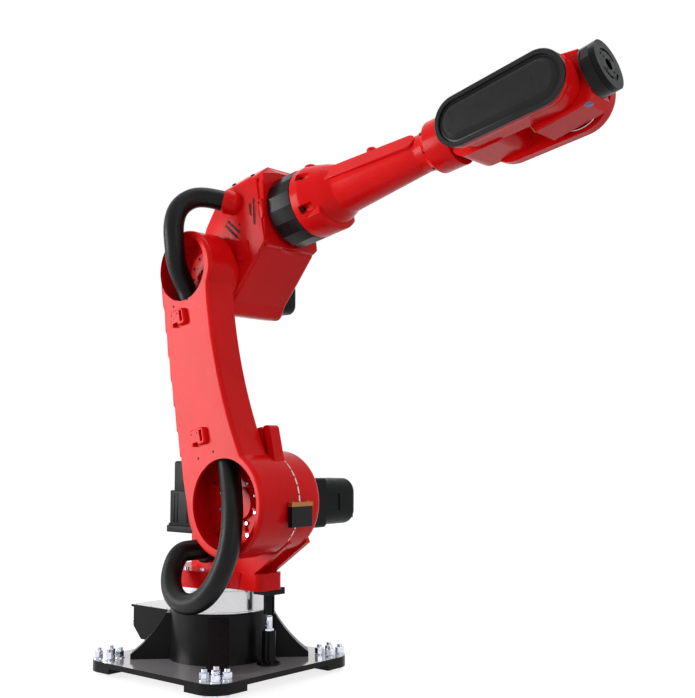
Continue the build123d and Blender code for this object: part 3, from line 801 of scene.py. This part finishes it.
def make_elbow():
    """Front of the gear housing, its cheek with slanting vents, and the pad beside them."""
    front = [(min(n, FRONT_CREST), z) for n, z in FRONT_SECTION]
    verts, faces = stack([(FRONT_SECTION, FRONT_START), (front, FRONT_END - 3), (scaled(front, 0.985), FRONT_END)])
    verts = [Vector((n, y, h - max(0, 80 - n) * FRONT_SLANT if h > FRONT_START else h)) for n, y, h in verts]
    parts = [moved((verts, faces), spin(90, "Y") @ spin(90, "Z"))]
    cheek = grown(softened(CHEEK, 24), -12)
    parts.append(cushion(cheek, 117, CHEEK_FACE, 0.5, 2.2, 3))
    parts.append(moved(prism(rounded(18, 60, 8), 122, 125.5, 1.0), shift(217, -1, 0) @ spin(-3, "Z")))
    build("elbow_front_and_cheek", parts, FORE, RED, "elbow", 28)
    inlays, rims = [], []
    for s, n, length, turn in VENTS:
        place = shift(s, n, 0) @ spin(turn, "Z")
        inlays.append(moved(prism(rounded(7, length, 3.4), 122, 124.7, 0.2), place))
        rims.append(moved(frame_band(rounded(10, length + 3, 4.9), 1.4, 123, 125.4, 0.4), place))
    build("elbow_vents", inlays, FORE, DARK, "elbow")
    build("elbow_vent_rims", rims, FORE, RED, "elbow")


RING_R = 111.5
RING_SIDES = 16


def make_drive_ring():
    """Black ring with flat facets between the gear housing and the forearm."""
    angles = [math.radians(360 / RING_SIDES * (k + 0.5)) for k in range(RING_SIDES)]
    outline = [(RING_R * math.cos(a), RING_R * math.sin(a)) for a in angles]
    ring = moved(cushion(outline, 236, 322, 1, 2), ALONG_X)
    piece = build("forearm_ring", [ring], FORE, SLEEVE, "forearm", 15)
    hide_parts("forearm_drive_ring")


ELBOW_MOTOR_PLACE = (102, 1188, 0)


def make_elbow_motor():
    """Short servo motor on the elbow's far side, with a rounded end and a small cap on it."""
    spot = shift(*ELBOW_MOTOR_PLACE)
    parts = [moved(cushion(rounded(116, 116, 16), -118, -86, 2, 2), spot),
             moved(cushion(rounded(108, 108, 30, 8), -180, -116, 12, 2), spot),
             moved(cushion(rounded(34, 30, 6), -186, -170, 3, 1), spot)]
    piece = build("elbow_servo_motor", parts, side_frame((0, 0), 0), MOTOR, "elbow")
    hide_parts("elbow_motor")


def make_hose_boss():
    """Red boss on the elbow, and the end of the upper hose that goes into it."""
    start, before = Vector(UPPER_HOSE[-1]), Vector(UPPER_HOSE[-2])
    turn = (start - before).to_track_quat("Z", "Y").to_matrix().to_4x4()
    seat = WORLD @ shift(*start) @ turn
    rows = [(31, 12), (34, 12), (36, 14), (37.5, 20), (38, 40), (35, 54), (27, 64), (12, 70)]
    piece = build("elbow_hose_boss", [lathe(rows, 64)], seat, RED, "elbow", 50)
    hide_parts("elbow_hose_gland")
    build("elbow_hose_end", [lathe([(30.8, -3), (31.2, -1), (31.2, 18)], 64)], seat, RUBBER, "elbow")


TURRET_MOTOR_X = -116
MOTOR_FLANGE_TOP = 449


def make_turret_motor():
    """Upright servo motor: square flange, ribbed body and a cap with cut corners."""
    spot = shift(TURRET_MOTOR_X, 0, 0)
    cap = softened([(65, 40), (40, 65), (-40, 65), (-65, 40), (-65, -40), (-40, -65), (40, -65), (65, -40)], 8)
    parts = [moved(cushion(rounded(146, 146, 12), 428, MOTOR_FLANGE_TOP, 1, 2), spot),
             moved(cushion(rounded(134, 134, 16), MOTOR_FLANGE_TOP, 561, 1, 3), spot),
             moved(cushion(cap, 560, 656, 1, 7), spot)]
    for turn in range(0, 360, 90):
        for y in (-40, -24, 24, 40):
            parts.append(moved(brick((60, 68.5), (y - 5, y + 5), (458, 552), 1.5), spot @ spin(turn, "Z")))
    piece = build("turret_servo_motor", parts, WORLD, MOTOR, "turret")
    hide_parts("turret_motor")
    corners = [spot @ shift(x, y, MOTOR_FLANGE_TOP) for x in (-61, 61) for y in (-61, 61)]
    build("turret_motor_screws", at_places([socket_screw(6.5, 7)], corners), WORLD, DARK, "turret")


def make_shoulder_ring():
    """Bright ring in the groove between the housing and the arm, with dark screw pockets."""
    ring = tube_ring(120, 151.0, 85.2, 94.6, 0.6, 128)
    piece = build("shoulder_groove_ring", [ring], SHOULDER, STEEL, "turret")
    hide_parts("shoulder_bearing_ring")
    spots = [shift(0, 0, 90) @ m @ ALONG_X for m in around(36, 149.6)]
    dots = at_places([lathe([(3.4, 0), (3.4, 1.8), (2.2, 2.1)], 12)], spots)
    build("shoulder_groove_screws", dots, SHOULDER, DARK, "turret")


# Outline of the forearm as (along, radius)
TUBE_ROWS = [(300, 96), (323.4, 96), (323.5, 109), (352, 109), (358, 108), (419, 90), (457, 74.5), (745, 54),
             (772, 58), (792, 76), (862, 76)]
POCKET_START = 344
POCKET_END = 386
POCKET_ANGLES = (20, 60, 117, 150, 210, 243, 300, 340)
POCKET_R = 12
POCKET_REACH = 101
FLANGE_START = 323.5
FLANGE_R = 109
PAD_LEAN = -32
PAD_SLOPE = 0.0664


def tube_radius(station, angle):
    """Radius of the forearm, with the round screw pockets in its flange."""
    radius = between(TUBE_ROWS, station)
    if POCKET_START <= station < POCKET_END:
        turn = min(((math.degrees(angle) - a + 180) % 360 - 180 for a in POCKET_ANGLES), key=abs)
        offset = POCKET_REACH * math.sin(math.radians(turn))
        if abs(offset) < POCKET_R:
            floor = POCKET_REACH * math.cos(math.radians(turn)) - math.sqrt(POCKET_R ** 2 - offset ** 2)
            radius = min(radius, floor)
    return radius


def make_forearm():
    """Tapered tube with a pocketed flange, belly pod, side pad and two knobs, and its screws."""
    stations = [300, 323.4, 323.5, 325, POCKET_START - 0.05, POCKET_START]
    stations += list(range(348, 460, 4)) + list(range(460, 741, 28)) + [745, 752, 762, 772, 775, 791, 794, 858, 862]
    parts = [turned_field(stations, tube_radius)]
    arc = [math.radians(a) for a in range(206, 335, 8)]
    chord = [(FLANGE_R * math.cos(a), FLANGE_R * math.sin(a)) for a in arc]
    belly = [(n, -y) for y, n in chord if abs(y) <= 90]
    parts.append(pod_solid(belly, FLANGE_START, 408))
    slot = stadium((426, 0), 26, (724, 0), 26, 12)
    floor = [Vector((x, y, 20)) for x, y in slot]
    roof = [Vector((x, y, 81 - (x - 400) * PAD_SLOPE)) for x, y in grown(slot, -1.6)]
    wall = [Vector((x, y, 79.4 - (x - 400) * PAD_SLOPE)) for x, y in slot]
    count = len(slot)
    faces = [tuple(reversed(range(count))), tuple(range(2 * count, 3 * count))]
    for base in (0, count):
        faces += [(base + i, base + (i + 1) % count, base + (i + 1) % count + count, base + i + count)
                  for i in range(count)]
    parts.append(moved((floor + wall + roof, faces), spin(PAD_LEAN, "X")))
    knob = [(18, 60), (18, 102), (16, 107), (12, 109), (9, 109, 6), (9, 105, 6), (2, 104.8)]
    parts.append(moved(lathe(knob, 36), shift(348, 0, 24) @ UP_Y))
    small = [(15, 30), (15, 80), (12, 85), (9, 86), (6, 86, 6), (6, 83, 6), (2, 82.8)]
    parts.append(moved(lathe(small, 36), shift(567, 0, 0) @ UP_Y))
    piece = build("forearm_casting", parts, FORE, RED, "forearm", 30)
    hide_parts("forearm_tube")
    pockets = [spin(a, "X") @ shift(POCKET_START, 97, 0) @ ALONG_X for a in POCKET_ANGLES]
    build("forearm_flange_screws", at_places([socket_screw(6.5, 12)], pockets), FORE, DARK, "forearm")
    necks = [spin(22.5 + 45 * k, "X") @ shift(789, 69, 0) @ spin(-90, "Y") for k in range(8)]
    build("forearm_neck_screws", at_places([socket_screw(4.6, 7)], necks), FORE, DARK, "forearm")


def pod_solid(belly, low, high):
    """Segment of a round bar under the flange, along the local x axis, with an eased end."""
    closed = belly + [(belly[-1][0] + 30, belly[-1][1]), (belly[0][0] + 30, belly[0][1])]
    count = len(closed)
    verts = []
    for station, scale in ((low, 1.0), (high - 5, 1.0), (high - 1.5, 0.985), (high, 0.955)):
        verts.extend(Vector((station, n * scale, z * scale)) for n, z in closed)
    faces = [tuple(reversed(range(count))), tuple(3 * count + i for i in range(count))]
    for ring in range(3):
        for i in range(count):
            a, b = ring * count + i, ring * count + (i + 1) % count
            faces.append((a, b, b + count, a + count))
    return verts, faces


# Cover's two round ends in the forearm's frame: centre and radius
COVER_ENDS = ((938, -10), 69.5, (1184, -0.5), 74.6)
PANEL_ROWS = ((-17, 118), (-19, 119.5), (-31, 127), (-33, 128))
SEAL_PLACE = (1181, -4, 0)


def make_wrist():
    """Cover plate with a raised panel, its red skirt and the bright seal ring."""
    outline = stadium(*COVER_ENDS)
    parts = [cushion(outline, 116, 119, 0.3, 0.5, 2), frame_band(outline, 13, 117, 125, 2.0)]
    parts.append(stack([(grown(outline, inset), z) for inset, z in PANEL_ROWS]))
    # The cover plate takes the lightened plastic, whose lighter base colour is a painted sheen
    piece = build("wrist_cover_plate", parts, FORE, COVER_WITH_PAINTED_SHEEN, "forearm", 25)
    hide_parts("wrist_cover")
    skirt = cushion(grown(outline, -1.5), 94, 116.4, 0.3, 1.0, 2)
    build("wrist_cover_skirt", [skirt], FORE, RED, "forearm")
    seal = tube_ring(60, 82, -72, -67.5, 1.0)
    piece = build("wrist_seal_band", [seal], FORE @ shift(*SEAL_PLACE), STEEL, "forearm")
    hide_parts("wrist_bearing_ring")


FLOOR_REACH = 30.0
FLOOR_GLOW = 0.8
WORLD_STRENGTH = 0.5


def make_stage():
    """White floor that keeps a soft shadow."""
    mesh = bpy.data.meshes.new("floor")
    reach = FLOOR_REACH
    corners = [(-reach, -reach, 0), (reach, -reach, 0), (reach, reach, 0), (-reach, reach, 0)]
    mesh.from_pydata(corners, [], [(0, 1, 2, 3)])
    floor = bpy.data.objects.new("floor", mesh)
    bpy.context.scene.collection.objects.link(floor)
    mat, tree, shader = new_material("white_floor")
    shader.inputs["Roughness"].default_value = 0.8
    shader.inputs["Specular IOR Level"].default_value = 0.0
    tint = add_noise(tree, 3.0)
    tone = ramp_between(tree, tint.outputs["Fac"], (0.44, 0.44, 0.44), (0.46, 0.46, 0.46))
    tree.links.new(tone.outputs["Color"], shader.inputs["Base Color"])
    glow = tree.nodes.new("ShaderNodeEmission")
    tree.links.new(seen_rays(tree), glow.inputs["Strength"])
    glow.inputs["Color"].default_value = (FLOOR_GLOW, FLOOR_GLOW, FLOOR_GLOW, 1)
    both = tree.nodes.new("ShaderNodeAddShader")
    tree.links.new(shader.outputs["BSDF"], both.inputs[0])
    tree.links.new(glow.outputs["Emission"], both.inputs[1])
    tree.links.new(both.outputs["Shader"], tree.nodes["Material Output"].inputs["Surface"])
    mesh.materials.append(mat)


def seen_rays(tree):
    """One for rays from the camera, from mirrors and through glass, else zero."""
    ray = tree.nodes.new("ShaderNodeLightPath")
    total = ray.outputs["Is Camera Ray"]
    for kind in ("Is Glossy Ray", "Is Transmission Ray"):
        most = tree.nodes.new("ShaderNodeMath")
        most.operation = "MAXIMUM"
        tree.links.new(total, most.inputs[0])
        tree.links.new(ray.outputs[kind], most.inputs[1])
        total = most.outputs[0]
    return total


def make_world():
    """Soft grey light that shows as white to the camera and in reflections."""
    world = bpy.data.worlds.new("studio")
    bpy.context.scene.world = world
    world.use_nodes = True
    tree = world.node_tree
    light = tree.nodes["Background"]
    light.inputs["Color"].default_value = (0.97, 0.98, 1.0, 1)
    light.inputs["Strength"].default_value = WORLD_STRENGTH
    white = tree.nodes.new("ShaderNodeBackground")
    white.inputs["Color"].default_value = (1, 1, 1, 1)
    white.inputs["Strength"].default_value = 1.0
    mix = tree.nodes.new("ShaderNodeMixShader")
    tree.links.new(seen_rays(tree), mix.inputs["Fac"])
    tree.links.new(light.outputs["Background"], mix.inputs[1])
    tree.links.new(white.outputs["Background"], mix.inputs[2])
    tree.links.new(mix.outputs["Shader"], tree.nodes["World Output"].inputs["Surface"])


def make_lamp(name, place, target, size, power):
    lamp = bpy.data.lights.new(name, "AREA")
    lamp.shape = "RECTANGLE"
    lamp.size, lamp.size_y = size
    lamp.energy = power
    holder = bpy.data.objects.new(name, lamp)
    holder.location = place
    holder.rotation_euler = (Vector(target) - Vector(place)).to_track_quat("-Z", "Y").to_euler()
    bpy.context.scene.collection.objects.link(holder)


def make_camera():
    camera = bpy.data.cameras.new("camera")
    camera.sensor_width = SENSOR
    camera.lens = CAMERA_LENS
    holder = bpy.data.objects.new("camera", camera)
    holder.location = CAMERA_PLACE
    holder.rotation_euler = [math.radians(a) for a in CAMERA_TURN]
    bpy.context.scene.collection.objects.link(holder)
    bpy.context.scene.camera = holder


make_camera()
make_world()
make_stage()
make_lamp("side", (-3.0, -3.6, 1.3), (0.4, 0, 0.9), (2.5, 2.5), 200)
make_lamp("fill", (4.4, -1.2, 1.8), (0.4, 0, 0.9), (2.0, 2.5), 25)
make_lamp("top", (0.6, 0.8, 4.4), (0.4, 0, 1.0), (2.5, 2.5), 40)
make_hose()
make_anchor_bolts()
make_base_details()
make_turret_details()
make_upper_arm_details()
make_elbow_details()
make_elbow()
make_drive_ring()
make_elbow_motor()
make_hose_boss()
make_turret_motor()
make_shoulder_ring()
make_forearm()
make_wrist()
make_wrist_details()
dress_nodes()

bpy.context.scene.view_settings.view_transform = "Standard"
